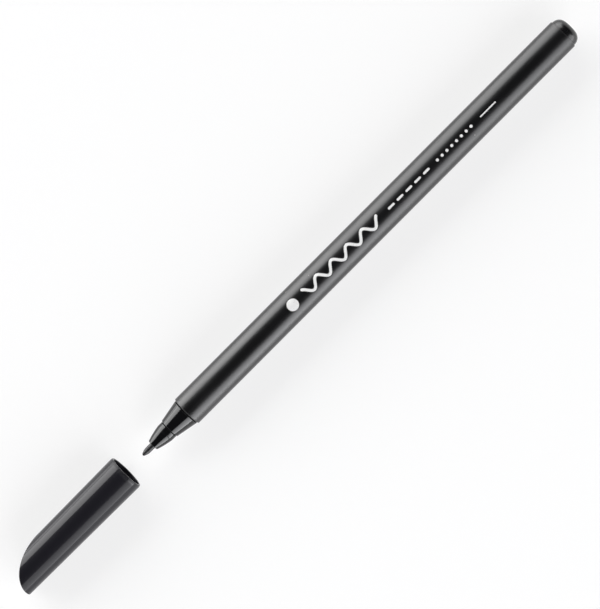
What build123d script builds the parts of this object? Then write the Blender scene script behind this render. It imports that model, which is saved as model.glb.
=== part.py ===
from build123d import *
import os

# A slim fibre-tip pen, lying along X with its pull-off cap in line in front of the point.
# The pen's axis is parallel to X, the point looks towards -X and the rear plug towards +X.
# Every piece is drawn with x = 0 at the barrel's mouth, on the axis, and placed at the end.

# Driving dimensions, in millimetres and degrees

# Barrel
barrel_diameter = 8.5
barrel_length = 134.3
barrel_wall = 0.8
barrel_edge_radius = 0.15

# Fits between pieces
press_clearance = 0.02
socket_clearance = 0.15
rib_clearance = 0.05
throat_clearance = 0.1
seal_clearance = 0.04
stop_clearance = 0.05

# An edge's radius takes at most this share of its wall
edge_share = 0.4

# Front section, the cone that closes the barrel's mouth
cone_length = 6.15
cone_step = 0.3
cone_drop = 1.155
section_spigot_length = 12.0
spigot_lead_in = 0.4
feed_chamber_wall = 0.9

# Nib holder, the collar in front of the cone
collar_step = 0.22
collar_land_length = 1.6
collar_taper_length = 4.4
collar_front_wall = 0.63
collar_bulge = 0.11
collar_edge_radius = 0.12
holder_wall = 0.7
holder_spigot_length = 9.0
air_groove_count = 3
air_groove_width = 0.4
air_groove_depth = 0.25

# Nib, a bonded fibre rod
nib_diameter = 1.7
nib_reach = 3.65
nib_point_length = 2.4
nib_tip_radius = 0.35
nib_tip_angle = 60.0
nib_feed_depth = 9.0
nib_feed_taper = 1.2

# Ink reservoir, a fibre core in a film sleeve
reservoir_room = 0.3
film_thickness = 0.15
nib_hole_spare = 0.4

# Rear plug
plug_step = 0.3
plug_head_length = 2.57
plug_rim_height = 0.27
plug_spigot_length = 9.0
plug_wall = 0.9
plug_floor = 1.0
plug_rib_thickness = 0.7
plug_rib_turns = (0, 90)

# Cap
cap_gap = 5.9
cap_overlap = 12.0
cap_wall = 0.65
cap_draft = 0.35
cap_end_length = 11.8
cap_end_curve_length = 13.0
cap_end_wall = 1.0
cap_end_edge_radius = 0.3
cap_tip_solid = 5.0
cap_lip_radius = 0.25
grip_rib_count = 6
grip_rib_width = 0.7
grip_rib_inset = 1.4
vent_diameter = 1.6

# Inner seal of the cap
seal_wall = 0.6
seal_end_wall = 0.6
seal_end_diameter = 4.2
seal_flange_thickness = 1.2
seal_ledge = 0.25
seal_rim_gap = 0.1
seal_tip_room = 0.6
seal_notch_count = 4
seal_notch_width = 1.6
seal_notch_depth = 0.5

# Sizes that follow from the driving dimensions
barrel_radius = barrel_diameter / 2
bore_radius = barrel_radius - barrel_wall
spigot_radius = bore_radius - press_clearance
cone_base_radius = barrel_radius - cone_step
cone_tip_radius = cone_base_radius - cone_drop
collar_radius = cone_tip_radius - collar_step
nib_radius = nib_diameter / 2
nib_bore_radius = nib_radius + press_clearance
holder_spigot_radius = nib_bore_radius + holder_wall
holder_bore_radius = holder_spigot_radius + press_clearance
collar_front_radius = nib_bore_radius + collar_front_wall
reservoir_radius = bore_radius - reservoir_room
core_radius = reservoir_radius - film_thickness
plug_radius = barrel_radius - plug_step
plug_edge_radius = plug_head_length - plug_rim_height
barrel_round = min(barrel_edge_radius, edge_share * barrel_wall)

collar_length = collar_land_length + collar_taper_length
nose_reach = cone_length + collar_length + nib_reach
reservoir_front = section_spigot_length
reservoir_rear = barrel_length - plug_spigot_length
nib_rear = reservoir_front + nib_feed_depth
pen_rear = barrel_length + plug_head_length

socket_radius = barrel_radius + socket_clearance
cap_mouth_radius = socket_radius + cap_wall
cap_end_radius = cap_mouth_radius - cap_draft
throat_radius = cone_base_radius + throat_clearance
cavity_radius = throat_radius - seal_ledge
cap_length = cap_overlap + nose_reach + cap_end_length
cap_mouth = -(nose_reach + cap_gap)
cap_travel = cap_gap + nose_reach + cap_overlap - stop_clearance

seal_bore_radius = collar_radius + seal_clearance
seal_radius = seal_bore_radius + seal_wall
seal_rim = cap_overlap + cone_length + seal_rim_gap
seal_ledge_depth = seal_rim + seal_flange_thickness
seal_taper_start = cap_overlap + cone_length + collar_length
seal_floor = cap_overlap + nose_reach + seal_tip_room
seal_end = seal_floor + seal_end_wall

# Place of the drawing frame: the floor under the middle of the whole length is the origin
# The cap is widest just behind its rounded lip, and it is what stands on the floor
lip_radius = min(cap_lip_radius, edge_share * cap_wall)
middle = (pen_rear + cap_mouth - cap_length) / 2
axis_height = cap_mouth_radius - cap_draft * lip_radius / cap_length

# Two stations closer than this are the same place
same_place = 0.0001


def turned(*outline):
    # Solid turned about the pen's axis from a closed outline of (x, radius) points
    return revolve(make_face(Polyline(*outline, close=True)), Axis.X)


def rod(start, end, radius):
    # Plain cylinder on the pen's axis between two stations
    return turned((start, 0), (start, radius), (end, radius), (end, 0))


def tube(start, end, outer, inner):
    # Plain tube on the pen's axis between two stations
    return turned((start, inner), (start, outer), (end, outer), (end, inner))


def around(count, piece):
    # Copies of a piece, evenly spaced about the pen's axis
    return [Rot(X=360 * step / count) * piece for step in range(count)]


def bar(start, end, low, high, width):
    # Straight bar along the pen's axis, from one height above the axis to another
    size = (end - start, width, high - low)
    return Pos((start + end) / 2, 0, (low + high) / 2) * Box(*size)


def rings_at(solid, x):
    # Round edges of a solid that lie in the plane across the axis at x
    rounds = solid.edges().filter_by(GeomType.CIRCLE)
    return rounds.filter_by(lambda edge: abs(edge.center().X - x) < same_place)


def make_barrel():
    body = tube(0, barrel_length, barrel_radius, bore_radius)
    outer_edges = [rings_at(body, end).sort_by(SortBy.RADIUS)[-1] for end in (0, barrel_length)]
    return fillet(outer_edges, barrel_round)


def make_front_section():
    spigot_end = section_spigot_length
    body = turned(
        (-cone_length, 0),
        (-cone_length, cone_tip_radius),
        (0, cone_base_radius),
        (0, spigot_radius),
        (spigot_end - spigot_lead_in, spigot_radius),
        (spigot_end, spigot_radius - spigot_lead_in),
        (spigot_end, 0),
    )
    holder_seat_end = holder_spigot_length - cone_length
    chamber_radius = spigot_radius - feed_chamber_wall
    body -= rod(-cone_length, holder_seat_end, holder_bore_radius)
    body -= rod(holder_seat_end, spigot_end, chamber_radius)
    return body


def make_nib_holder():
    back = -cone_length
    land_end = back - collar_land_length
    front = back - collar_length
    spigot_end = back + holder_spigot_length
    bulge = ((land_end + front) / 2, (collar_radius + collar_front_radius) / 2 + collar_bulge)
    outline = [
        Polyline(
            (front, collar_front_radius),
            (front, 0),
            (spigot_end, 0),
            (spigot_end, holder_spigot_radius),
            (back, holder_spigot_radius),
            (back, collar_radius),
            (land_end, collar_radius),
        ),
        ThreePointArc((land_end, collar_radius), bulge, (front, collar_front_radius)),
    ]
    body = revolve(make_face(outline), Axis.X)
    body = fillet(rings_at(body, front), collar_edge_radius)
    body -= rod(front, spigot_end, nib_bore_radius)
    groove = bar(front, spigot_end, 0, nib_bore_radius + air_groove_depth, air_groove_width)
    for cutter in around(air_groove_count, groove):
        body -= cutter
    return body


def make_nib():
    # The flank of the point leaves the rod smoothly and runs into the round tip
    tip = -nose_reach
    shoulder = (tip + nib_point_length, nib_radius)
    tail = (nib_rear - nib_feed_taper, nib_radius)
    round_tip = CenterArc((tip + nib_tip_radius, 0), nib_tip_radius, 180, -nib_tip_angle)
    flank = TangentArc(shoulder, round_tip @ 1, tangent=(-1, 0))
    rest = Polyline(shoulder, tail, (nib_rear, nib_radius / 2), (nib_rear, 0), (tip, 0))
    return revolve(make_face([round_tip, flank, rest]), Axis.X)


def make_ink_reservoir():
    hole_end = nib_rear + nib_hole_spare
    core = rod(reservoir_front, reservoir_rear, core_radius)
    return core - rod(reservoir_front, hole_end, nib_bore_radius)


def make_reservoir_film():
    return tube(reservoir_front, reservoir_rear, reservoir_radius, core_radius + press_clearance)


def make_rear_plug():
    hollow_radius = spigot_radius - plug_wall
    hollow_end = barrel_length - plug_floor
    spigot_start = reservoir_rear
    head = rod(barrel_length, pen_rear, plug_radius)
    head = fillet(rings_at(head, pen_rear), plug_edge_radius)
    spigot = turned(
        (spigot_start, 0),
        (spigot_start, spigot_radius - spigot_lead_in),
        (spigot_start + spigot_lead_in, spigot_radius),
        (barrel_length, spigot_radius),
        (barrel_length, 0),
    )
    spigot -= rod(spigot_start, hollow_end, hollow_radius)
    rib_reach = hollow_radius + plug_wall / 2
    rib = bar(spigot_start, hollow_end, -rib_reach, rib_reach, plug_rib_thickness)
    body = head + spigot
    for turn in plug_rib_turns:
        body += Rot(X=turn) * rib
    return body


def cap_end_prism(wall):
    # What lies inside the cap's slanted end: a quarter ellipse on the XY plane, drawn out along Z.
    # The ellipse's centre is on the cap's long side, and the wall draws the curve inwards.
    along = cap_end_curve_length - wall
    centre_x = -(cap_length - cap_end_curve_length)
    centre_y = -cap_end_radius
    share = (cap_length - cap_end_curve_length) / cap_length
    top_radius = cap_mouth_radius - cap_draft * share
    across = cap_end_radius + top_radius + press_clearance - wall
    high = 2 * cap_mouth_radius
    curve = EllipticalCenterArc((centre_x, centre_y), along, across, start_angle=90, arc_size=90)
    rest = Polyline(
        (centre_x - along, centre_y),
        (centre_x - along, -high),
        (high, -high),
        (high, high),
        (centre_x, high),
        (centre_x, centre_y + across),
    )
    return extrude(Pos(Z=-high) * make_face([curve, rest]), amount=2 * high)


def make_cap_shell():
    # Drawn with its mouth at x = 0 and its inside towards -x
    body = turned((0, 0), (0, cap_mouth_radius), (-cap_length, cap_end_radius), (-cap_length, 0))
    body = fillet(rings_at(body, 0), lip_radius)
    body &= cap_end_prism(0)
    slant_edges = body.edges().filter_by(GeomType.BSPLINE)
    body = fillet(slant_edges, min(cap_end_edge_radius, edge_share * cap_end_wall))
    cavity_end = cap_length - cap_tip_solid
    cavity = rod(-cavity_end, -seal_ledge_depth, cavity_radius) & cap_end_prism(cap_end_wall)
    body -= cavity
    body -= rod(-seal_ledge_depth, -cap_overlap, throat_radius)
    body -= rod(-cap_overlap, 0, socket_radius)
    body -= rod(-cap_length, -cavity_end, vent_diameter / 2)
    rib = bar(
        -(cap_overlap - grip_rib_inset),
        -grip_rib_inset,
        barrel_radius + rib_clearance,
        socket_radius + cap_wall / 2,
        grip_rib_width,
    )
    for grip_rib in around(grip_rib_count, rib):
        body += grip_rib
    return body


def make_cap_inner_seal():
    # Drawn with the cap's mouth at x = 0, as the shell is
    flange_radius = throat_radius - press_clearance
    end_radius = seal_end_diameter / 2
    body = turned(
        (-seal_rim, 0),
        (-seal_rim, flange_radius),
        (-seal_ledge_depth, flange_radius),
        (-seal_ledge_depth, seal_radius),
        (-seal_taper_start, seal_radius),
        (-seal_end, end_radius),
        (-seal_end, 0),
    )
    body -= turned(
        (-seal_rim, 0),
        (-seal_rim, seal_bore_radius),
        (-seal_taper_start, seal_bore_radius),
        (-seal_floor, end_radius - seal_wall),
        (-seal_floor, 0),
    )
    notch = bar(
        -seal_ledge_depth,
        -seal_rim,
        flange_radius - seal_notch_depth,
        flange_radius + seal_notch_depth,
        seal_notch_width,
    )
    for cutter in around(seal_notch_count, notch):
        body -= cutter
    return body


on_pen = Pos(-middle, 0, axis_height)
on_cap = on_pen * Pos(cap_mouth, 0, 0)

pieces = {
    "barrel": on_pen * make_barrel(),
    "front_section": on_pen * make_front_section(),
    "nib_holder": on_pen * make_nib_holder(),
    "nib": on_pen * make_nib(),
    "ink_reservoir": on_pen * make_ink_reservoir(),
    "reservoir_film": on_pen * make_reservoir_film(),
    "rear_plug": on_pen * make_rear_plug(),
    "cap_shell": on_cap * make_cap_shell(),
    "cap_inner_seal": on_cap * make_cap_inner_seal(),
}

os.makedirs("parts", exist_ok=True)
for name, piece in pieces.items():
    export_step(piece, f"parts/{name}.step")

print("pen length without cap", round(pen_rear + nose_reach, 3))
print("pen length with cap on", round(pen_rear + cap_length - cap_overlap, 3))
print("whole length as it lies", round(pen_rear - cap_mouth + cap_length, 3))
print("axis height", round(axis_height, 3))
print("barrel from", round(-middle, 3), "to", round(barrel_length - middle, 3))
print("rear face at", round(pen_rear - middle, 3))
print("cap mouth at", round(cap_mouth - middle, 3), "cap travel", round(cap_travel, 3))
print("cap socket depth", cap_overlap, "radius", round(socket_radius, 3))
print("cap throat to", round(seal_rim, 3), "radius", round(throat_radius, 3))
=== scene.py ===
from math import asin, cos, hypot, pi, radians, sin, tan, tau

import bmesh
import bpy
from mathutils import Matrix, Vector


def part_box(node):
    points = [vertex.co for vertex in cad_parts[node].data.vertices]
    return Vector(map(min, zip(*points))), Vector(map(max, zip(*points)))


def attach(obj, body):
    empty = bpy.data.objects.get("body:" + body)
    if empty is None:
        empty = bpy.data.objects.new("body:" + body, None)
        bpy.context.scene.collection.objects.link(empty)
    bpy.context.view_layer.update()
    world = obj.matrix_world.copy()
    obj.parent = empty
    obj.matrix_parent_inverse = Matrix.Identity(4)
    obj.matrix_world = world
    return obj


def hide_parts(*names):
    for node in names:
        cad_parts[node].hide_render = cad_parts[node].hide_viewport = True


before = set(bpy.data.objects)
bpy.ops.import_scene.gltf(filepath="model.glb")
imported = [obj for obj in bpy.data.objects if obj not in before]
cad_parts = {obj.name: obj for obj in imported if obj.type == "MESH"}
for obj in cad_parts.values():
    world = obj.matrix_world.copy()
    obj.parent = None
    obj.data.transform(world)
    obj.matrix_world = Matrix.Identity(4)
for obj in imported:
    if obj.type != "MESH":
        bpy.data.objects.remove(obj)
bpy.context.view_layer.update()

mm = 0.001
weldDistance = 0.001 * mm
sharpAngle = radians(38)
# Faces whose points all carry the seam mark take a near-black, dull finish, which is painted shade in the
# seam
seamMark = -1.0  # wear value of the outline points that lie inside a seam

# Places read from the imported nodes
barrelLow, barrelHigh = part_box("barrel")
capLow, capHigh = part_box("cap_shell")
axisHeight = (barrelLow.z + barrelHigh.z) / 2
barrelMouth = barrelLow.x


def station(node, end):
    # Where a node begins (0) or ends (1) along the pen, in millimetres from the barrel's mouth
    return (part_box(node)[end].x - barrelMouth) / mm


barrelLength = station("barrel", 1)
coneFront = station("front_section", 0)
collarFront = station("nib_holder", 0)
nibTip = station("nib", 0)
penRear = station("rear_plug", 1)
capMouth = station("cap_shell", 1)
print("frame read, axis height", round(axisHeight / mm, 3), "mm")


# Node helpers, used by the geometry trees and by the materials

def setInputs(node, inputs):
    # Links each input to a socket, or sets it to a plain value
    for name, value in inputs.items():
        if isinstance(value, bpy.types.NodeSocket):
            node.id_data.links.new(value, node.inputs[name])
        else:
            node.inputs[name].default_value = value


def addNode(tree, kind, inputs=None, **settings):
    node = tree.nodes.new(kind)
    for name, value in settings.items():
        setattr(node, name, value)
    setInputs(node, inputs or {})
    return node


def made(tree, kind, inputs=None, **settings):
    # First output of a new node
    return addNode(tree, kind, inputs, **settings).outputs[0]


def shaped(tree, kind, inputs=None, **settings):
    return made(tree, "GeometryNode" + kind, inputs, **settings)


def treeOf(*values):
    # The tree that the first socket among the values belongs to
    return next(value.id_data for value in values if isinstance(value, bpy.types.NodeSocket))


def maths(operation, first, second=0.0, third=0.0, clamp=False):
    values = {0: first, 1: second, 2: third}
    return made(treeOf(first, second), "ShaderNodeMath", values, operation=operation, use_clamp=clamp)


def combine(x=0.0, y=0.0, z=0.0):
    return made(treeOf(x, y, z), "ShaderNodeCombineXYZ", {"X": x, "Y": y, "Z": z})


def separate(vector):
    return addNode(vector.id_data, "ShaderNodeSeparateXYZ", {0: vector}).outputs


def noise(vector, scale, detail):
    inputs = {"Vector": vector, "Scale": scale, "Detail": detail}
    return made(vector.id_data, "ShaderNodeTexNoise", inputs)


# Kinds of sockets, with and without a number as their default
numberKinds = {int: "NodeSocketInt", float: "NodeSocketFloat"}
shape = "NodeSocketGeometry"
arrow = "NodeSocketVector"
paint = "NodeSocketMaterial"


def newGroup(name, kind, inputs, outputs):
    # An input is given by its default number, or by its kind where it has none
    tree = bpy.data.node_groups.new(name, kind)
    for label, value in inputs.items():
        socketKind = numberKinds.get(type(value), value)
        socket = tree.interface.new_socket(label, in_out="INPUT", socket_type=socketKind)
        if socketKind != value:
            socket.default_value = value
    for label, socketKind in outputs.items():
        tree.interface.new_socket(label, in_out="OUTPUT", socket_type=socketKind)
    return tree, tree.nodes.new("NodeGroupInput").outputs, tree.nodes.new("NodeGroupOutput").inputs


def geometryTree(name, inputs):
    everyInput = {**inputs, "Axis Height": axisHeight, "Material": paint}
    return newGroup(name, "GeometryNodeTree", everyInput, {"Geometry": shape})


def shaderGroup(name, inputs, outputs=("Mask",)):
    results = dict.fromkeys(outputs, numberKinds[float])
    return newGroup(name, "ShaderNodeTree", {"Vector": arrow, **inputs}, results)


def endTree(tree, geometry, material, output):
    smooth = shaped(tree, "SetShadeSmooth", {"Geometry": geometry})
    real = shaped(tree, "RealizeInstances", {"Geometry": smooth})
    painted = shaped(tree, "SetMaterial", {"Geometry": real, "Material": material})
    tree.links.new(painted, output)


# A piece turned about the pen's axis: the object's own points are the outline, x along and z outwards

def turnedTree():
    ripples = {"Ripple Share": 0.0, "Ripples Around": 6.0, "Ripples Along": 600.0}
    tree, given, result = geometryTree("turnedPiece", {"Outline": shape, "Segments": 160, **ripples})
    outline = given["Outline"]
    count = shaped(tree, "AttributeDomainSize", {"Geometry": outline})
    steps = maths("SUBTRACT", count, 1.0)
    segments = given["Segments"]
    sides = {"Size X": steps, "Size Y": segments}
    points = {"Vertices X": count, "Vertices Y": maths("ADD", segments, 1.0)}
    grid = shaped(tree, "MeshGrid", {**sides, **points})
    place = shaped(tree, "InputPosition")
    flat = separate(place)
    along = maths("MULTIPLY_ADD", steps, 0.5, flat["X"])
    index = made(tree, "FunctionNodeFloatToInt", {0: along}, rounding_mode="ROUND")
    share = maths("DIVIDE", flat["Y"], segments)
    angle = maths("MULTIPLY", maths("ADD", share, 0.5), tau)

    def fromOutline(value, kind):
        inputs = {"Geometry": outline, "Value": value, "Index": index}
        return shaped(tree, "SampleIndex", inputs, data_type=kind)

    drawn = separate(fromOutline(place, "FLOAT_VECTOR"))
    named = shaped(tree, "InputNamedAttribute", {"Name": "wear"}, data_type="FLOAT")
    wear = fromOutline(named, "FLOAT")

    # Lengthwise ripple for fibre rods: noise round the ring, stretched along the axis
    cosine = maths("COSINE", angle)
    sine = maths("SINE", angle)
    ring = combine(
        maths("MULTIPLY", drawn["X"], given["Ripples Along"]),
        maths("MULTIPLY", cosine, given["Ripples Around"]),
        maths("MULTIPLY", sine, given["Ripples Around"]),
    )
    ripple = maths("SUBTRACT", noise(ring, scale=1.0, detail=3.0), 0.5)
    lift = maths("MULTIPLY", ripple, given["Ripple Share"])
    radius = maths("MULTIPLY", drawn["Z"], maths("ADD", lift, 1.0))

    spot = combine(
        drawn["X"],
        maths("MULTIPLY", radius, cosine),
        maths("ADD", maths("MULTIPLY", radius, sine), given["Axis Height"]),
    )
    mark = {"Geometry": grid, "Name": "wear", "Value": wear}
    marked = shaped(tree, "StoreNamedAttribute", mark, data_type="FLOAT", domain="POINT")
    turned = shaped(tree, "SetPosition", {"Geometry": marked, "Position": spot})
    welded = shaped(tree, "MergeByDistance", {"Geometry": turned, "Distance": weldDistance})
    endTree(tree, welded, given["Material"], result[0])
    return tree


# Copies of a piece set evenly about the pen's axis, the piece drawn beside the x axis

def ringTree():
    tree, given, result = geometryTree("ringOfCopies", {"Piece": shape, "Count": 6})
    centre = combine(z=given["Axis Height"])
    points = shaped(tree, "Points", {"Count": given["Count"], "Position": centre})
    index = shaped(tree, "InputIndex")
    turn = maths("MULTIPLY", maths("DIVIDE", index, given["Count"]), tau)
    spin = made(tree, "FunctionNodeAxisAngleToRotation", {"Axis": (1.0, 0.0, 0.0), "Angle": turn})
    inputs = {"Points": points, "Instance": given["Piece"], "Rotation": spin}
    copies = shaped(tree, "InstanceOnPoints", inputs)
    endTree(tree, copies, given["Material"], result[0])
    return tree


# A row of printed strokes with round ends, straight or waved, laid round the barrel's top

def strokeTree():
    stroke = {"Start": 0.0, "Length": 0.01, "Width": 0.0005, "Points Along": 48, "Points Across": 7}
    wave = {"Wave Height": 0.0, "Wave Length": 0.005}
    others = {"Count": 1, "Pitch": 0.0, "Ink": 0.00001, "Barrel Radius": 0.004}
    inputs = {"Geometry": shape, **stroke, **wave, **others}
    tree, given, result = geometryTree("printedStrokes", inputs)

    def straight(start, end, count):
        line = shaped(tree, "CurvePrimitiveLine", {"Start": start, "End": end})
        return shaped(tree, "ResampleCurve", {"Curve": line, "Count": count})

    half = maths("MULTIPLY", given["Width"], 0.5)
    path = straight((0.0, 0.0, 0.0), combine(given["Length"]), given["Points Along"])
    done = addNode(tree, "GeometryNodeSplineParameter").outputs["Length"]
    left = maths("SUBTRACT", given["Length"], done)
    inset = maths("DIVIDE", maths("MINIMUM", done, left), half)
    cut = maths("SUBTRACT", 1.0, inset, clamp=True)
    width = maths("SQRT", maths("SUBTRACT", 1.0, maths("MULTIPLY", cut, cut), clamp=True))
    sized = shaped(tree, "SetCurveRadius", {"Curve": path, "Radius": width})
    phase = maths("MULTIPLY", maths("DIVIDE", done, given["Wave Length"]), tau)
    swing = maths("MULTIPLY", maths("COSINE", phase), given["Wave Height"])
    waved = shaped(tree, "SetPosition", {"Geometry": sized, "Offset": combine(y=swing)})
    level = shaped(tree, "SetCurveNormal", {"Curve": waved}, mode="Z_UP")
    low = combine(maths("MULTIPLY", half, -1.0))
    section = straight(low, combine(half), given["Points Across"])
    radius = shaped(tree, "InputRadius")
    sweep = {"Curve": level, "Profile Curve": section, "Scale": radius}
    strip = shaped(tree, "CurveToMesh", sweep)

    # Give the ink its thickness and close the underside
    up = made(tree, "ShaderNodeCombineXYZ", {"Z": 1.0})
    lift = {"Mesh": strip, "Offset": up, "Offset Scale": given["Ink"], "Individual": False}
    both = addNode(tree, "GeometryNodeJoinGeometry")
    tree.links.new(shaped(tree, "ExtrudeMesh", lift), both.inputs[0])
    tree.links.new(shaped(tree, "FlipFaces", {"Mesh": strip}), both.inputs[0])
    weld = {"Geometry": both.outputs[0], "Distance": weldDistance}
    closed = shaped(tree, "MergeByDistance", weld)

    start = combine(given["Start"], z=maths("MULTIPLY", given["Ink"], -0.5))
    row = {"Count": given["Count"], "Start Location": start, "Offset": combine(given["Pitch"])}
    spots = shaped(tree, "MeshLine", row, mode="OFFSET")
    copies = shaped(tree, "InstanceOnPoints", {"Points": spots, "Instance": closed})
    real = shaped(tree, "RealizeInstances", {"Geometry": copies})

    # Lay the flat marks round the barrel: y becomes an angle, z the height above the surface
    flat = separate(shaped(tree, "InputPosition"))
    angle = maths("DIVIDE", flat["Y"], given["Barrel Radius"])
    reach = maths("ADD", flat["Z"], given["Barrel Radius"])
    height = maths("MULTIPLY", reach, maths("COSINE", angle))
    spot = combine(
        flat["X"],
        maths("MULTIPLY", reach, maths("SINE", angle)),
        maths("ADD", height, given["Axis Height"]),
    )
    wrapped = shaped(tree, "SetPosition", {"Geometry": real, "Position": spot})
    endTree(tree, wrapped, given["Material"], result[0])
    return tree


turnedPiece = turnedTree()
ringOfCopies = ringTree()
printedStrokes = strokeTree()
print("geometry trees built")


# Mesh helpers

def addObject(name, data):
    thing = bpy.data.objects.new(name, data)
    bpy.context.scene.collection.objects.link(thing)
    return thing


def runTree(name, mesh, tree, finish, values):
    # Runs one tree on a mesh and keeps the outcome as a plain mesh
    piece = addObject(name, mesh)
    modifier = piece.modifiers.new(tree.name, "NODES")
    modifier.node_group = tree
    sockets = {item.name: item.identifier for item in tree.interface.items_tree if item.in_out == "INPUT"}
    for label, value in {**values, "Material": finishes[finish]}.items():
        modifier[sockets[label]] = value
    keepResult(piece)
    piece.data.materials.clear()  # drops the empty slot that comes before the tree's own material
    piece.data.materials.append(finishes[finish])
    return piece


def keepResult(piece):
    # Replaces a piece's mesh by what its modifiers make of it, and removes them
    evaluated = piece.evaluated_get(bpy.context.evaluated_depsgraph_get())
    mesh = bpy.data.meshes.new_from_object(evaluated)
    piece.modifiers.clear()
    piece.data = mesh
    mesh.name = piece.name
    closeUp(mesh)


def closeUp(mesh):
    # Outward normals, smooth faces and sharp edges only at real corners
    work = bmesh.new()
    work.from_mesh(mesh)
    bmesh.ops.remove_doubles(work, verts=work.verts, dist=weldDistance)
    bmesh.ops.dissolve_degenerate(work, edges=work.edges, dist=weldDistance)
    bmesh.ops.recalc_face_normals(work, faces=work.faces)
    for face in work.faces:
        face.smooth = True
    work.to_mesh(mesh)
    work.free()
    mesh.set_sharp_from_angle(angle=sharpAngle)


def cutAway(piece, cutter):
    # Takes one solid out of another, and drops the cutter
    modifier = piece.modifiers.new("cut", "BOOLEAN")
    modifier.object = cutter
    modifier.operation = "DIFFERENCE"
    modifier.solver = "EXACT"
    keepResult(piece)
    bpy.data.objects.remove(cutter)


def outlineMesh(name, points):
    # Outline points (x, radius, wear) in millimetres from the barrel's mouth, as a chain of edges
    mesh = bpy.data.meshes.new(name)
    spots = [(barrelMouth + x * mm, 0.0, radius * mm) for x, radius, wear in points]
    mesh.from_pydata(spots, [(step, step + 1) for step in range(len(spots) - 1)], [])
    layer = mesh.attributes.new("wear", "FLOAT", "POINT")
    layer.data.foreach_set("value", [wear for x, radius, wear in points])
    return mesh


def unworn(*points):
    return [(x, radius, 0.0) for x, radius in points]


def evenly(first, last, steps):
    return [first + (last - first) * step / steps for step in range(steps + 1)]


def arcPoints(centre, radius, first, last, steps):
    angles = evenly(first, last, steps)
    return unworn(*((centre[0] + radius * cos(a), centre[1] + radius * sin(a)) for a in angles))


def roundCorner(before, corner, after, radius, steps=8, support=0.12, wear=1.0):
    # Arc in place of a corner, with a support point on each side that keeps the flats flat
    here = Vector(corner)
    back = (Vector(before) - here).normalized()
    ahead = (Vector(after) - here).normalized()
    halfAngle = back.angle(ahead) / 2
    reach = radius / tan(halfAngle)
    centre = here + (back + ahead).normalized() * (radius / sin(halfAngle))
    first = here + back * reach - centre
    last = here + ahead * reach - centre
    sweep = first.angle_signed(last)
    points = unworn(here + back * (reach + support))
    for step in range(steps + 1):
        arm = first.copy()
        arm.rotate(Matrix.Rotation(-sweep * step / steps, 2))
        points.append((*(centre + arm), wear))
    return points + unworn(here + ahead * (reach + support))


def roundedOutline(corners, closed=True):
    # Corners are (x, radius) or (x, radius, rounding), all in millimetres
    count = len(corners)
    points = []
    for step, corner in enumerate(corners):
        if len(corner) == 2:
            points += unworn(corner)
            continue
        before, after = corners[step - 1], corners[(step + 1) % count]
        points += roundCorner(before[:2], corner[:2], after[:2], corner[2])
    return points + points[:1] if closed else points


def bowedRun(start, end, bulge, steps=12):
    # Shallow arc between two outline points, standing out by the bulge at its middle
    chord = hypot(end[0] - start[0], end[1] - start[1])
    across = Vector((start[1] - end[1], end[0] - start[0])) / chord
    if across.y < 0:
        across.negate()
    points = []
    for step in range(1, steps):
        share = step / steps
        lift = 4 * bulge * share * (1 - share)
        points.append(Vector(start).lerp(Vector(end), share) + across * lift)
    return unworn(*points)


def turnPiece(name, points, finish, values):
    return runTree(name, outlineMesh(name, points), turnedPiece, finish, values)


def shadeSeams(piece):
    # Little light gets into a seam, so the faces between its marked points take a dull, near-black finish:
    # painted shade in the seam
    mesh = piece.data
    mesh.materials.append(finishes["seamShade"])
    wear = mesh.attributes["wear"].data
    for face in mesh.polygons:
        if all(wear[vert].value < seamMark / 2 for vert in face.vertices):
            face.material_index = 1


def finishPiece(piece, body, node=None):
    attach(piece, body)
    if node:
        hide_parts(node)
    print("built", piece.name, "with", len(piece.data.polygons), "faces")


# Shader groups shared by the finishes

def mouldSkinGroup():
    # Skin of a moulded piece: fine grain as a height, and a slow drift in its sheen
    scales = {"Grain Scale": 4000.0, "Drift Scale": 90.0}
    tree, given, result = shaderGroup("mouldSkin", scales, ("Grain", "Drift"))
    drift = noise(given["Vector"], given["Drift Scale"], detail=3.0)
    tree.links.new(noise(given["Vector"], given["Grain Scale"], detail=2.0), result["Grain"])
    tree.links.new(maths("SUBTRACT", drift, 0.5), result["Drift"])
    return tree


def fineScratchesGroup():
    # Hair scratches along the pen, from noise that is stretched lengthwise; a larger share keeps more of it
    inputs = {"Scale": 2500.0, "Stretch": 0.03, "Share": 0.3}
    tree, given, result = shaderGroup("fineScratches", inputs)
    highest, span, contrast = 0.8, 0.4, 12.0
    squeeze = combine(given["Stretch"], 1.0, 1.0)
    long = made(tree, "ShaderNodeVectorMath", {0: given["Vector"], 1: squeeze}, operation="MULTIPLY")
    edge = maths("SUBTRACT", highest, maths("MULTIPLY", given["Share"], span))
    above = maths("SUBTRACT", noise(long, given["Scale"], detail=1.0), edge)
    tree.links.new(maths("MULTIPLY", above, contrast, clamp=True), result["Mask"])
    return tree


def dustSpecksGroup():
    # Sparse specks: small round cells, of which a share is kept
    tree, given, result = shaderGroup("dustSpecks", {"Scale": 700.0, "Size": 0.1, "Share": 0.1})
    spread = {"Vector": given["Vector"], "Scale": given["Scale"]}
    cells = addNode(tree, "ShaderNodeTexVoronoi", spread).outputs
    near = maths("LESS_THAN", cells["Distance"], given["Size"])
    pick = made(tree, "ShaderNodeSeparateColor", {0: cells["Color"]})
    kept = maths("LESS_THAN", pick, given["Share"])
    tree.links.new(maths("MULTIPLY", near, kept), result["Mask"])
    return tree


def rimWearGroup():
    # Rubbed rims, and on the cap's lip also a painted highlight: the outline's own wear value, which is above
    # zero on rims, broken up by noise
    tree, given, result = shaderGroup("rimWear", {"Scale": 900.0, "Strength": 0.5})
    edge, contrast = 0.35, 2.5
    wear = addNode(tree, "ShaderNodeAttribute", attribute_name="wear").outputs["Fac"]
    above = maths("SUBTRACT", noise(given["Vector"], given["Scale"], detail=3.0), edge)
    patchy = maths("MULTIPLY", above, contrast, clamp=True)
    rubbed = maths("MULTIPLY", maths("MAXIMUM", wear, 0.0), patchy)
    tree.links.new(maths("MULTIPLY", rubbed, given["Strength"]), result["Mask"])
    return tree


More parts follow.
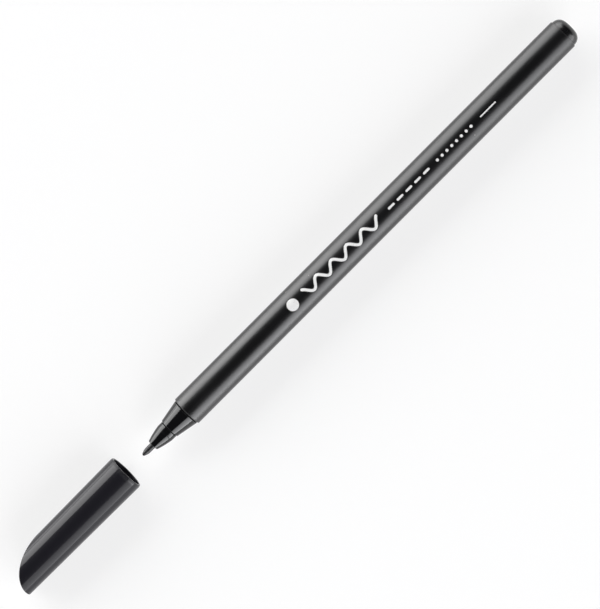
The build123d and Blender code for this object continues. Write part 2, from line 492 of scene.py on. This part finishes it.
mouldSkin = mouldSkinGroup()
fineScratches = fineScratchesGroup()
dustSpecks = dustSpecksGroup()
rimWear = rimWearGroup()


# Material helpers

def addGroup(group, place, inputs):
    inputs = {"Vector": place, **inputs}
    return addNode(place.id_data, "ShaderNodeGroup", inputs, node_tree=group).outputs


def mixColour(factor, first, second):
    # Sockets 6 and 7 are the mix node's two colours, and its third output is their mix
    inputs = {0: factor, 6: first, 7: second}
    return addNode(factor.id_data, "ShaderNodeMix", inputs, data_type="RGBA").outputs[2]


def addMasks(value, masks, shares):
    for name, share in shares.items():
        value = maths("ADD", value, maths("MULTIPLY", masks[name], share))
    return value


def bumped(strength, height, reach=0.02):
    # Normal of a bumpy surface; the reach is the height of a full bump in millimetres
    inputs = {"Strength": strength, "Distance": reach * mm, "Height": height}
    return made(height.id_data, "ShaderNodeBump", inputs)


def newMaterial(name, specular, ior=1.5):
    material = bpy.data.materials.new(name)
    material.use_nodes = True
    shader = material.node_tree.nodes["Principled BSDF"]
    setInputs(shader, {"Specular IOR Level": specular, "IOR": ior})
    place = addNode(material.node_tree, "ShaderNodeTexCoord").outputs["Object"]
    return material, shader, place


# Moulded plastics: what most of them share, what sets each apart, and what the marks on them do

plasticBasics = {
    "colour": (0.004, 0.004, 0.0045, 1.0),
    "worn": (0.05, 0.05, 0.052, 1.0),
    "ior": 1.5,
    "grainDepth": 0.02,
    "scratchShare": 0.3,
    "dustShare": 0.008,
    "rimWear": 0.4,
}
plasticFinishes = {
    "barrelSatin": {
        "colour": (0.003, 0.003, 0.0034, 1.0),
        "worn": (0.06, 0.06, 0.062, 1.0),
        "roughness": 0.31,
        "specular": 0.55,
        "ior": 1.58,
        "grainDepth": 0.05,
        "rimWear": 0.35,
    },
    "noseGloss": {"roughness": 0.10, "specular": 0.5, "scratchShare": 0.25, "dustShare": 0.01},
    "plugGloss": {"roughness": 0.24, "specular": 0.65},
    # On the lip the rubbed colour is partly real wear and partly a painted highlight, a lighter band where
    # the rounded lip would catch light
    "capGloss": {
        "colour": (0.0105, 0.01, 0.0133, 1.0),
        "worn": (0.055, 0.055, 0.058, 1.0),
        "roughness": 0.38,
        "specular": 0.1,
        "polish": 0.5,
        "polishRoughness": 0.05,
        "dustShare": 0.006,
        "rimWear": 0.5,
    },
    # Painted shade for seams: a near-black skin that hardly reflects, standing in for the shadow in the
    # groove
    "seamShade": {
        "colour": (0.003, 0.003, 0.003, 1.0),
        "worn": (0.02, 0.02, 0.02, 1.0),
        "roughness": 0.9,
        "specular": 0.1,
        "scratchShare": 0.2,
        "dustShare": 0.01,
        "rimWear": 0.3,
    },
    "sealPlastic": {
        "colour": (0.03, 0.03, 0.032, 1.0),
        "worn": (0.08, 0.08, 0.082, 1.0),
        "roughness": 0.45,
        "specular": 0.4,
        "grainDepth": 0.08,
        "scratchShare": 0.2,
        "dustShare": 0.02,
        "rimWear": 0.0,
    },
}
plasticMarks = {
    "dustColour": (0.22, 0.21, 0.20, 1.0),
    "drift": 0.12,
    "roughens": {"scratch": 0.10, "dust": 0.4, "wear": 0.25},
    "dulls": {"scratch": 0.2, "wear": 0.4, "dust": 1.0},
    "scratchDepth": 0.5,
}


def plasticMaterial(name, finish, marks):
    material, shader, place = newMaterial(name, finish["specular"], finish["ior"])
    skin = addGroup(mouldSkin, place, {})
    masks = {
        "scratch": addGroup(fineScratches, place, {"Share": finish["scratchShare"]})["Mask"],
        "dust": addGroup(dustSpecks, place, {"Share": finish["dustShare"]})["Mask"],
        "wear": addGroup(rimWear, place, {"Strength": finish["rimWear"]})["Mask"],
    }
    rubbed = mixColour(masks["wear"], finish["colour"], finish["worn"])
    sheen = maths("MULTIPLY_ADD", skin["Drift"], marks["drift"], finish["roughness"])
    cut = maths("MULTIPLY", masks["scratch"], marks["scratchDepth"])
    inputs = {
        "Base Color": mixColour(masks["dust"], rubbed, marks["dustColour"]),
        "Roughness": addMasks(sheen, masks, marks["roughens"]),
        "Normal": bumped(finish["grainDepth"], maths("SUBTRACT", skin["Grain"], cut)),
    }
    if "polish" in finish:  # a clear gloss over a hazier skin, thinner where it is scratched, rubbed or dusty
        intact = maths("SUBTRACT", 1.0, addMasks(0.0, masks, marks["dulls"]), clamp=True)
        inputs["Coat Weight"] = maths("MULTIPLY", intact, finish["polish"])
        inputs["Coat Roughness"] = finish["polishRoughness"]
    setInputs(shader, inputs)
    return material


# Fibre finishes: streaks along the pen, with a damp sheen

fibreFinishes = {
    "nibFibre": {
        "dark": (0.004, 0.004, 0.0045, 1.0),
        "pale": (0.022, 0.022, 0.024, 1.0),
        "roughness": 0.28,
        "specular": 0.5,
        "streaks": {"Scale": 9000.0, "Stretch": 0.04, "Share": 0.85},
        "depth": 0.25,
    },
    "reservoirFibre": {
        "dark": (0.03, 0.03, 0.033, 1.0),
        "pale": (0.10, 0.10, 0.11, 1.0),
        "roughness": 0.75,
        "specular": 0.2,
        "streaks": {"Scale": 5000.0, "Stretch": 0.04, "Share": 0.85},
        "depth": 0.6,
    },
}
fibreDrift = {"scale": 500.0, "roughens": 0.3}


def fibreMaterial(name, finish):
    material, shader, place = newMaterial(name, finish["specular"])
    streak = addGroup(fineScratches, place, finish["streaks"])["Mask"]
    drift = addGroup(mouldSkin, place, {"Drift Scale": fibreDrift["scale"]})["Drift"]
    inputs = {
        "Base Color": mixColour(streak, finish["dark"], finish["pale"]),
        "Roughness": maths("MULTIPLY_ADD", drift, fibreDrift["roughens"], finish["roughness"]),
        "Normal": bumped(finish["depth"], streak),
    }
    setInputs(shader, inputs)
    return material


# Pale finishes, a little uneven in tone: ink with pin holes where the dark barrel shows, and creased film

paleFinishes = {
    "printInk": {
        "thin": (0.72, 0.72, 0.71, 1.0),
        "full": (0.86, 0.86, 0.85, 1.0),
        "holeColour": (0.10, 0.10, 0.10, 1.0),
        "pinHoles": {"Scale": 6000.0, "Size": 0.22, "Share": 0.05},
        "driftScale": 1500.0,
        "toneDrift": 0.6,
        "roughness": 0.5,
        "specular": 0.4,
        "depth": 0.2,
        "bumpReach": 0.01,
    },
    "milkyFilm": {
        "thin": (0.70, 0.70, 0.68, 1.0),
        "full": (0.80, 0.80, 0.78, 1.0),
        "creases": {"Scale": 1500.0, "Share": 0.6},
        "driftScale": 200.0,
        "toneDrift": 1.0,
        "roughness": 0.3,
        "specular": 0.5,
        "depth": 0.3,
        "bumpReach": 0.05,
    },
}
paleDrift = 0.2  # share of the drift in the roughness


def paleMaterial(name, finish):
    material, shader, place = newMaterial(name, finish["specular"])
    skin = addGroup(mouldSkin, place, {"Drift Scale": finish["driftScale"]})
    tone = maths("MULTIPLY_ADD", skin["Drift"], finish["toneDrift"], 0.5, clamp=True)
    colour = mixColour(tone, finish["thin"], finish["full"])
    relief = skin["Grain"]
    if "pinHoles" in finish:
        holes = addGroup(dustSpecks, place, finish["pinHoles"])["Mask"]
        colour = mixColour(holes, colour, finish["holeColour"])
    if "creases" in finish:
        relief = addGroup(fineScratches, place, finish["creases"])["Mask"]
    inputs = {
        "Base Color": colour,
        "Roughness": maths("MULTIPLY_ADD", skin["Drift"], paleDrift, finish["roughness"]),
        "Normal": bumped(finish["depth"], relief, finish["bumpReach"]),
    }
    setInputs(shader, inputs)
    return material


finishes = {}
for finishName, finish in plasticFinishes.items():
    finishes[finishName] = plasticMaterial(finishName, {**plasticBasics, **finish}, plasticMarks)
for finishName, finish in fibreFinishes.items():
    finishes[finishName] = fibreMaterial(finishName, finish)
for finishName, finish in paleFinishes.items():
    finishes[finishName] = paleMaterial(finishName, finish)
print("finishes made:", len(finishes))


# Barrel, a plain tube with rounded rims

barrelShape = {"radius": 4.25, "bore": 3.45, "frontRim": 0.25, "rearRim": 0.15, "boreRim": 0.08}


def makeBarrel(size):
    outline = roundedOutline(
        [
            (0, size["radius"], size["frontRim"]),
            (barrelLength, size["radius"], size["rearRim"]),
            (barrelLength, size["bore"], size["boreRim"]),
            (0, size["bore"], size["boreRim"]),
        ]
    )
    piece = turnPiece("barrel_tube", outline, "barrelSatin", {"Segments": 192})
    finishPiece(piece, "pen", "barrel")


# Front section, the cone in the barrel's mouth with its spigot

sectionShape = {
    "baseRadius": 3.95,
    "tipRadius": 2.795,
    "rim": 0.08,
    "seamWidth": 0.28,
    "seamDepth": 0.16,
    "spigotRadius": 3.43,
    "spigotLength": 12.0,
    "leadIn": 0.4,
    "chamberRadius": 2.53,
    "holderBore": 1.59,
    "holderDepth": 9.0,
}


def makeFrontSection(size):
    end = size["spigotLength"]
    seat = coneFront + size["holderDepth"]
    seam = -size["seamWidth"]
    lean = (size["baseRadius"] - size["tipRadius"]) / coneFront
    neck = size["baseRadius"] - size["seamDepth"]
    outline = roundedOutline(
        [
            (coneFront, size["tipRadius"], size["rim"]),
            (seam, size["baseRadius"] - lean * seam, size["rim"]),
            (seam, neck),
            (0, neck),
            (0, size["spigotRadius"]),
            (end - size["leadIn"], size["spigotRadius"]),
            (end, size["spigotRadius"] - size["leadIn"]),
            (end, size["chamberRadius"]),
            (seat, size["chamberRadius"]),
            (seat, size["holderBore"]),
            (coneFront, size["holderBore"]),
        ]
    )
    outline = [(x, radius, seamMark if radius == neck else wear) for x, radius, wear in outline]
    piece = turnPiece("front_cone", outline, "noseGloss", {})
    shadeSeams(piece)
    finishPiece(piece, "pen", "front_section")


# Nib holder, the bowed collar with three air grooves beside the nib

holderShape = {
    "collarRadius": 2.575,
    "landLength": 1.6,
    "landSupport": 0.15,
    "landWear": 0.4,
    "frontRadius": 1.5,
    "bulge": 0.11,
    "frontRim": 0.12,
    "frontSupport": 0.08,
    "backRim": 0.06,
    "backSupport": 0.05,
    "seamWidth": 0.22,
    "seamDepth": 0.14,
    "spigotRadius": 1.57,
    "spigotLength": 9.0,
    "bore": 0.87,
    "boreChamfer": 0.05,
    "grooveCount": 3,
    "grooveWidth": 0.4,
    "grooveDepth": 0.25,
    "grooveSpare": 1.0,
}


def makeNibHolder(size):
    bore, chamfer = size["bore"], size["boreChamfer"]
    landEnd = (coneFront - size["landLength"], size["collarRadius"])
    front = (collarFront, size["frontRadius"])
    bow = bowedRun(landEnd, front, size["bulge"])
    spigotEnd = coneFront + size["spigotLength"]
    neck = (coneFront - size["seamWidth"], size["collarRadius"] - size["seamDepth"])
    back = (neck[0], size["collarRadius"])
    outline = unworn((landEnd[0] + size["landSupport"], landEnd[1]))
    outline += [(*landEnd, size["landWear"])] + bow[:-1]
    frontTurn = {"radius": size["frontRim"], "support": size["frontSupport"]}
    outline += roundCorner(bow[-2][:2], front, (collarFront, bore), **frontTurn)
    outline += unworn(
        (collarFront, bore + chamfer),
        (collarFront + chamfer, bore),
        (spigotEnd, bore),
        (spigotEnd, size["spigotRadius"]),
        (coneFront, size["spigotRadius"]),
    )
    outline += [(coneFront, neck[1], seamMark), (*neck, seamMark)]
    outline += roundCorner(neck, back, landEnd, size["backRim"], support=size["backSupport"])
    piece = turnPiece("nib_collar", outline + outline[:1], "noseGloss", {})

    groove = bpy.data.meshes.new("air_groove")
    work = bmesh.new()
    bmesh.ops.create_cube(work, size=1.0)
    length = spigotEnd - collarFront + 2 * size["grooveSpare"]
    stretch = Matrix.Diagonal((length * mm, size["grooveWidth"] * mm, size["grooveDepth"] * 2 * mm, 1.0))
    middle = barrelMouth + (collarFront - size["grooveSpare"] + length / 2) * mm
    place = Matrix.Translation((middle, 0, bore * mm))
    bmesh.ops.transform(work, matrix=place @ stretch, verts=work.verts)
    work.to_mesh(groove)
    work.free()
    copies = {"Count": size["grooveCount"]}
    cutAway(piece, runTree("air_grooves", groove, ringOfCopies, "noseGloss", copies))
    shadeSeams(piece)
    finishPiece(piece, "pen", "nib_holder")


# Nib, a fibre rod with a round point and a faint lengthwise ripple

nibShape = {
    "radius": 0.85,
    "pointLength": 2.0,
    "tipRadius": 0.42,
    "tipAngle": 60.0,
    "tipSteps": 7,
    "flankSteps": 14,
    "ringStep": 0.25,
    "ringCount": 7,
    "rear": 21.0,
    "rearTaper": 1.2,
    "ripple": {"Ripple Share": 0.05, "Ripples Around": 7.0, "Ripples Along": 350.0},
}


def makeNib(size):
    full, tip = size["radius"], size["tipRadius"]
    turn = radians(size["tipAngle"])
    roundTip = arcPoints((nibTip + tip, 0), tip, pi, pi - turn, size["tipSteps"])
    joint = roundTip[-1]
    shoulder = nibTip + size["pointLength"]
    rise = full - joint[1]
    run = shoulder - joint[0]
    bend = (rise * rise + run * run) / (2 * rise)
    lean = pi / 2 + asin(run / bend)
    flank = arcPoints((shoulder, full - bend), bend, lean, pi / 2, size["flankSteps"])
    rings = [(shoulder + size["ringStep"] * (step + 1), full) for step in range(size["ringCount"])]
    tail = [(size["rear"] - size["rearTaper"], full), (size["rear"], full / 2), (size["rear"], 0.0)]
    outline = unworn((nibTip, 0.0)) + roundTip[1:] + flank[1:] + unworn(*rings, *tail)
    piece = turnPiece("nib_rod", outline, "nibFibre", {"Segments": 96, **size["ripple"]})
    finishPiece(piece, "pen", "nib")


# Rear plug, a domed head with a shallow gate mark and a hollow spigot

plugShape = {
    "radius": 3.95,
    "dome": 2.3,
    "domeSteps": 24,
    "domeSupport": 0.1,
    "domeWear": 0.05,
    "rim": 0.06,
    "rimSupport": 0.05,
    "rimWear": 0.2,
    "gateRadius": 0.45,
    "gateDepth": 0.05,
    "gateSlope": 0.1,
    "gateSupport": 0.08,
    "spigotRadius": 3.43,
    "spigotLength": 9.0,
    "leadIn": 0.4,
    "hollow": 2.53,
    "floor": 1.0,
}


def makeRearPlug(size):
    spigotStart = barrelLength - size["spigotLength"]
    floor = barrelLength - size["floor"]
    gate = size["gateRadius"]
    dent = penRear - size["gateDepth"]
    dome = (penRear, size["radius"])
    rim = (barrelLength, size["radius"])
    domeTurn = {"steps": size["domeSteps"], "support": size["domeSupport"], "wear": size["domeWear"]}
    rimTurn = {"support": size["rimSupport"], "wear": size["rimWear"]}
    outline = unworn((dent, 0.0), (dent, gate - size["gateSlope"]))
    outline += unworn((penRear, gate), (penRear, gate + size["gateSupport"]))
    outline += roundCorner((penRear, 0), dome, rim, size["dome"], **domeTurn)
    outline += roundCorner(dome, rim, (barrelLength, 0), size["rim"], **rimTurn)
    outline += unworn(
        (barrelLength, size["spigotRadius"]),
        (spigotStart + size["leadIn"], size["spigotRadius"]),
        (spigotStart, size["spigotRadius"] - size["leadIn"]),
        (spigotStart, size["hollow"]),
        (floor, size["hollow"]),
        (floor, 0.0),
    )
    piece = turnPiece("end_plug", outline, "plugGloss", {})
    finishPiece(piece, "pen", "rear_plug")


# Cap shell: turned inside, drafted outside, cut off by an elliptic slant whose rim is rounded

capShape = {
    "mouthRadius": (capHigh.y - capLow.y) / 2 / mm,
    "draft": 0.35,
    "length": (capHigh.x - capLow.x) / mm - 0.005,  # stays just inside the solid's box
    "lipLength": 0.8,
    "lipDrop": 0.28,
    "lipFade": 1.4,
    "lipSteps": 8,
    # Wear values of the lip and the first line behind it: partly rubbing, partly a painted highlight
    "lipRubAndHighlight": [1.0, 0.5],
    "socket": 4.4,
    "socketRim": 0.15,
    "socketDepth": 12.0,
    "throat": 4.05,
    "throatRim": 0.08,
    "ledgeDepth": 19.45,
    "cavity": 3.8,
    "cavityDepth": 28.9,
    "cavityEnd": 34.6,
    "cavityTip": 1.2,
    "slantLength": 13.0,
    "slantSpare": 0.02,
    "slantRim": 0.15,
    "rimSupport": 0.12,
    "rimWear": 0.2,
    "ventRadius": 0.8,
    "ventSpare": (2.0, 1.0),
    "turns": 160,
    "ringsAlong": 20,
    "rimSteps": 6,
    "slantColumns": 16,
    "halvings": 50,
}


def capRadius(size, depth):
    return size["mouthRadius"] - size["draft"] * depth / size["length"]


def capSlant(size, share):
    # Point on the slanted end's quarter ellipse and its outward direction, as depth from the mouth and height
    along = size["slantLength"]
    start = size["length"] - along
    low = -capRadius(size, size["length"])
    across = capRadius(size, start) + size["slantSpare"] - low
    turn = pi / 2 * share
    point = Vector((start + along * sin(turn), low + across * cos(turn)))
    return point, Vector((sin(turn) / along, cos(turn) / across)).normalized()


def capColumn(size, angle):
    # One lengthwise line of the outside, from behind the lip to the slant's rounded rim
    def onCap(depth):
        radius = capRadius(size, depth)
        return Vector((-depth, radius * cos(angle), radius * sin(angle)))

    near, far = 0.0, 1.0
    for halving in range(size["halvings"]):
        middle = (near + far) / 2
        point, facing = capSlant(size, middle)
        if point.y > onCap(point.x).y:
            near = middle
        else:
            far = middle
    point, facing = capSlant(size, near)
    edge = onCap(point.x)
    outward = Vector((-size["draft"] / size["length"], cos(angle), sin(angle))).normalized()
    endward = Vector((-facing.x, facing.y, 0.0))
    pull = size["slantRim"] / (1 + outward.dot(endward))
    heart = edge - (outward + endward) * pull
    shares = evenly(0.0, 1.0, size["rimSteps"])
    rim = [heart + outward.slerp(endward, share, outward) * size["slantRim"] for share in shares]
    first = size["lipFade"]
    depths = [size["lipLength"], (size["lipLength"] + first) / 2]
    depths += evenly(first, -rim[0].x - size["rimSupport"], size["ringsAlong"])
    return [onCap(depth) for depth in depths] + rim


def capInside(size):
    # Turned outline of the inside, from the far end to the lip, as (depth, radius, wear)
    corners = [
        (size["cavityEnd"], 0.0),
        (size["cavityEnd"], size["cavityTip"]),
        (size["cavityDepth"], size["cavity"]),
        (size["ledgeDepth"], size["cavity"]),
        (size["ledgeDepth"], size["throat"]),
        (size["socketDepth"], size["throat"], size["throatRim"]),
        (size["socketDepth"], size["socket"]),
        (0.0, size["socket"], size["socketRim"]),
        (0.0, size["mouthRadius"]),
    ]
    outline = roundedOutline(corners, closed=False)[:-1]
    # The lip's rounding is longer than deep, and ends where the outside's lines begin; its wear value
    # lightens it, partly as rubbing and partly as a painted highlight where the lip would catch light
    full = capRadius(size, size["lipLength"])
    for step in range(size["lipSteps"]):
        turn = pi / 2 * step / size["lipSteps"]
        drop = size["lipDrop"] * (1 - sin(turn))
        outline.append((size["lipLength"] * (1 - cos(turn)), full - drop, size["lipRubAndHighlight"][0]))
    return outline


def makeCapShell(size):
    work = bmesh.new()
    layer = work.verts.layers.float.new("wear")
    place = Vector((capHigh.x, 0.0, axisHeight))
    turns = size["turns"]
    inside = capInside(size)
    rimWears = [size["rimWear"]] * (size["rimSteps"] + 1)
    columns = []
    for turn in range(turns):
        angle = tau * turn / turns
        spots = [(Vector((-d, r * cos(angle), r * sin(angle))), wear) for d, r, wear in inside]
        line = capColumn(size, angle)
        flatWears = [0.0] * (len(line) - len(size["lipRubAndHighlight"]) - len(rimWears))
        spots += zip(line, size["lipRubAndHighlight"] + flatWears + rimWears)
        column = []
        for spot, wear in spots:
            vert = work.verts.new(place + spot * mm)
            vert[layer] = wear
            column.append(vert)
        columns.append(column)
    for turn in range(turns):
        here, there = columns[turn], columns[(turn + 1) % turns]
        for step in range(len(here) - 1):
            work.faces.new((here[step], here[step + 1], there[step + 1], there[step]))

    # The slant is straight across, so each row joins two points that mirror each other
    rows = []
    count = size["slantColumns"]
    for turn in range(turns // 2 + 1):
        one, other = columns[turn][-1], columns[-turn % turns][-1]
        row = [one]
        for step in range(1, count):
            share = (1 - cos(pi * step / count)) / 2
            row.append(work.verts.new(one.co.lerp(other.co, share)))
        rows.append(row + [other])
    for here, there in zip(rows, rows[1:]):
        for step in range(count):
            corners = list(dict.fromkeys((here[step], there[step], there[step + 1], here[step + 1])))
            if len(corners) > 2:
                work.faces.new(corners)
    mesh = bpy.data.meshes.new("cap_body")
    work.to_mesh(mesh)
    work.free()
    mesh.materials.append(finishes["capGloss"])
    closeUp(mesh)
    piece = addObject("cap_body", mesh)

    vent = size["ventRadius"]
    outer = capMouth - size["length"] - size["ventSpare"][0]
    inner = capMouth - size["cavityEnd"] + size["ventSpare"][1]
    hole = unworn((outer, 0.0), (outer, vent), (inner, vent), (inner, 0.0))
    cutAway(piece, turnPiece("vent_cutter", hole, "capGloss", {"Segments": 48}))
    finishPiece(piece, "cap", "cap_shell")


# Grip ribs inside the cap's socket

ribShape = {
    "count": 6,
    "radius": 0.27,
    "tipShare": 0.35,
    "centre": 4.57,
    "first": 1.4,
    "last": 10.6,
    "leadIn": 1.2,
    "runOut": 0.4,
}


def makeGripRibs(size):
    front = capMouth - size["first"]
    back = capMouth - size["last"]
    tip = size["radius"] * size["tipShare"]
    outline = unworn(
        (back, 0.0),
        (back, tip),
        (back + size["runOut"], size["radius"]),
        (front - size["leadIn"], size["radius"]),
        (front, tip),
        (front, 0.0),
    )
    values = {"Segments": 20, "Axis Height": size["centre"] * mm}
    single = turnPiece("grip_rib", outline, "capGloss", values)
    piece = runTree("cap_grip_ribs", single.data, ringOfCopies, "capGloss", {"Count": size["count"]})
    bpy.data.objects.remove(single)
    finishPiece(piece, "cap")


# Printed line samples on the barrel's top, by the tree's inputs: in millimetres, starts from the nib's tip

printShape = {
    "ink": 0.016,
    "rows": [
        {"Start": 52.5, "Length": 3.2, "Width": 3.2, "Points Across": 17},
        {
            "Start": 58.0,
            "Length": 27.0,
            "Width": 0.75,
            "Wave Height": 1.15,
            "Wave Length": 5.4,
            "Points Along": 260,
        },
        {"Start": 88.0, "Length": 2.2, "Width": 0.6, "Count": 5, "Pitch": 3.1},
        {"Start": 105.0, "Length": 0.8, "Width": 0.8, "Count": 8, "Pitch": 1.7},
        {"Start": 120.5, "Length": 5.5, "Width": 0.35},
    ],
}


def makePrint(size):
    joined = bmesh.new()
    for step, row in enumerate(size["rows"]):
        name = f"print_row_{step}"
        marks = {**row, "Ink": size["ink"], "Barrel Radius": barrelShape["radius"]}
        marks["Start"] += nibTip + barrelMouth / mm
        # Whole numbers are counts, all others lengths
        values = {label: value if isinstance(value, int) else value * mm for label, value in marks.items()}
        piece = runTree(name, bpy.data.meshes.new(name), printedStrokes, "printInk", values)
        joined.from_mesh(piece.data)
        bpy.data.objects.remove(piece)
    mesh = bpy.data.meshes.new("barrel_print")
    joined.to_mesh(mesh)
    joined.free()
    mesh.materials.append(finishes["printInk"])
    mesh.set_sharp_from_angle(angle=sharpAngle)
    finishPiece(addObject("barrel_print", mesh), "pen")


makeBarrel(barrelShape)
makeFrontSection(sectionShape)
makeNibHolder(holderShape)
makeNib(nibShape)
makeRearPlug(plugShape)
makeCapShell(capShape)
makeGripRibs(ribShape)
makePrint(printShape)


# Inner pieces that stay as they are get their finish here

innerFinishes = {
    "cap_inner_seal": "sealPlastic",
    "ink_reservoir": "reservoirFibre",
    "reservoir_film": "milkyFilm",
}
for node, finishName in innerFinishes.items():
    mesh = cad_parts[node].data
    mesh.materials.clear()
    mesh.materials.append(finishes[finishName])
print("inner pieces dressed")


# Stage: a pale floor, two softboxes along the pen's sides, plain panels and a dim ceiling
# A softbox's shares are its brightness along its length, by place on x; the strips are in millimetres

stageShape = {
    "floorSize": 8.0,
    "floorDrop": 0.00002,
    "floorColour": (0.3, 0.3, 0.3, 1.0),
    "floorDim": (0.2955, 0.2955, 0.2955, 1.0),
    "floorDrift": 3.0,
    "floorGlow": 0.7,
    "horizonGlow": 1.0,
    "horizonTop": 0.12,
    "horizonBlend": 0.03,
    "ceilingGlow": 0.012,
    "softboxes": {
        "left": {
            "side": 1,
            "away": 2.0,
            "low": 0.02,
            "high": 1.87,
            "length": 4.0,
            "bottom": 6.7,
            "top": 4.54,
            "shares": [(-0.75, 1.0), (-0.62, 0.97), (-0.36, 0.97), (-0.28, 1.0), (-0.12, 1.0), (0.04, 0.65)],
            "tint": (1.0, 1.0, 1.0, 1.0),
        },
        "right": {
            "side": -1,
            "away": 2.0,
            "low": 0.03,
            "high": 2.3,
            "length": 4.0,
            "bottom": 8.6,
            "top": 3.68,
            "shares": [(-0.8, 0.8), (-0.6, 0.3), (-0.36, 0.3), (-0.27, 0.98), (-0.1, 1.0), (0.02, 0.46)],
            "tint": (0.97, 0.975, 1.0, 1.0),
        },
    },
    "frontPanel": {"away": 2.0, "low": 0.3, "high": 1.2, "length": 3.6, "glow": 1.8},
    "stripHeight": 0.2,
    "fillStrips": {
        "left": {"side": 1, "near": 27.0, "far": 140.0, "start": -160.0, "end": 160.0, "glow": 3.1},
        "right": {"side": -1, "near": 30.0, "far": 140.0, "start": -48.0, "end": 160.0, "glow": 1.3},
    },
}


def makeFloor(size):
    material, shader, place = newMaterial("paleFloor", 0.0)
    drift = addGroup(mouldSkin, place, {"Drift Scale": size["floorDrift"]})["Drift"]
    tone = maths("ADD", drift, 0.5, clamp=True)
    path = addNode(material.node_tree, "ShaderNodeLightPath").outputs
    mirrored = maths("MAXIMUM", path["Is Glossy Ray"], path["Is Transmission Ray"])
    seen = maths("MAXIMUM", path["Is Camera Ray"], mirrored)
    inputs = {
        "Base Color": mixColour(tone, size["floorDim"], size["floorColour"]),
        "Roughness": 1.0,
        "Emission Color": (1.0, 1.0, 1.0, 1.0),
        "Emission Strength": maths("MULTIPLY", seen, size["floorGlow"]),
    }
    setInputs(shader, inputs)
    half = size["floorSize"] / 2
    mesh = bpy.data.meshes.new("floor")
    corners = [(-half, -half), (half, -half), (half, half), (-half, half)]
    mesh.from_pydata([(x, y, -size["floorDrop"]) for x, y in corners], [], [(0, 1, 2, 3)])
    mesh.materials.append(material)
    addObject("floor", mesh)


def makePanel(name, width, depth, glow, spot, turn):
    # Even light panel that the camera doesn't see; pi watts per square metre give a radiance of 1
    lamp = bpy.data.lights.new(name, "AREA")
    lamp.shape = "RECTANGLE"
    lamp.size = width
    lamp.size_y = depth
    lamp.energy = pi * width * depth * glow
    stand = addObject(name, lamp)
    stand.location = spot
    stand.rotation_euler = turn
    stand.visible_camera = False
    return lamp


def makeSoftbox(name, box):
    # Upright panel beside the pen, graded from bottom to top and along its length
    spot = (0.0, box["side"] * box["away"], (box["low"] + box["high"]) / 2)
    turn = (-box["side"] * pi / 2, 0.0, 0.0)
    lamp = makePanel(name, box["length"], box["high"] - box["low"], 1.0, spot, turn)
    lamp.use_nodes = True
    tree = lamp.node_tree
    flat = separate(addNode(tree, "ShaderNodeNewGeometry").outputs["Parametric"])
    first, last = (box["bottom"], box["top"])[::-box["side"]]  # the left box hangs the other way up
    height = made(tree, "ShaderNodeMapRange", {"Value": flat["Y"], "To Min": first, "To Max": last})
    along = addNode(tree, "ShaderNodeValToRGB", {0: flat["X"]})
    stops = along.color_ramp.elements
    for place, share in box["shares"]:
        stops.new(place / box["length"] + 0.5).color = (share, share, share, 1.0)
    stops.remove(stops[0])  # the two stops that a new ramp comes with
    stops.remove(stops[-1])
    glow = maths("MULTIPLY", height, along.outputs[0])
    setInputs(tree.nodes["Emission"], {"Strength": glow, "Color": box["tint"]})


def makeFrontPanel(panel):
    # Stands beyond the cap, facing along the pen, and brings the level up for plain colours
    spot = (-panel["away"], 0.0, (panel["low"] + panel["high"]) / 2)
    turn = (pi / 2, 0.0, -pi / 2)
    makePanel("front_panel", panel["length"], panel["high"] - panel["low"], panel["glow"], spot, turn)


def makeFillStrip(name, strip, height):
    # Lies on the floor beside the pen and fills its flank from below
    across = strip["side"] * (strip["near"] + strip["far"]) / 2
    spot = Vector(((strip["start"] + strip["end"]) / 2, across, height)) * mm
    width, depth = (strip["end"] - strip["start"]) * mm, (strip["far"] - strip["near"]) * mm
    makePanel(name, width, depth, strip["glow"], spot, (pi, 0.0, 0.0))


def makeWorld(size):
    world = bpy.data.worlds.new("studio")
    bpy.context.scene.world = world
    world.use_nodes = True
    tree = world.node_tree
    direction = addNode(tree, "ShaderNodeTexCoord").outputs["Generated"]
    heights = {"From Min": size["horizonTop"], "From Max": size["horizonTop"] + size["horizonBlend"]}
    glows = {"To Min": size["horizonGlow"], "To Max": size["ceilingGlow"]}
    ramp = made(tree, "ShaderNodeMapRange", {"Value": separate(direction)["Z"], **heights, **glows})
    setInputs(tree.nodes["Background"], {"Strength": ramp, "Color": (1.0, 1.0, 1.0, 1.0)})


makeFloor(stageShape)
for boxName, box in stageShape["softboxes"].items():
    makeSoftbox("softbox_" + boxName, box)
makeFrontPanel(stageShape["frontPanel"])
for stripName, strip in stageShape["fillStrips"].items():
    makeFillStrip("fill_strip_" + stripName, strip, stageShape["stripHeight"])
makeWorld(stageShape)
print("stage lit")


# Camera above the pen, stepped towards its rear so that the cap's mouth shows, in millimetres and degrees

cameraShape = {
    "lookAt": (1.68, -1.21, 5.0),
    "standOff": 700.0,
    "stepAside": 30.0,
    "turn": 45.07,
    "pictureHeight": 153.9,
    "sensor": 36.0,
    "nearest": 10.0,
}


def makeCamera(size):
    target = Vector(size["lookAt"]) * mm
    spot = target + Vector((size["stepAside"], 0.0, size["standOff"])) * mm
    forward = (target - spot).normalized()
    along = (Vector((1, 0, 0)) - forward * forward.x).normalized()
    across = along.cross(forward)
    if across.y < 0:
        across.negate()
    turn = radians(size["turn"])
    right = along * cos(turn) - across * sin(turn)
    up = along * sin(turn) + across * cos(turn)
    lens = bpy.data.cameras.new("camera")
    lens.sensor_width = size["sensor"]
    lens.lens = size["sensor"] * (target - spot).length / (size["pictureHeight"] * mm)
    lens.clip_start = size["nearest"] * mm
    camera = addObject("camera", lens)
    turned = Matrix((right, up, -forward)).transposed().to_4x4()
    camera.matrix_world = Matrix.Translation(spot) @ turned
    bpy.context.scene.camera = camera


makeCamera(cameraShape)
bpy.context.scene.view_settings.view_transform = "Standard"

bpy.context.view_layer.update()
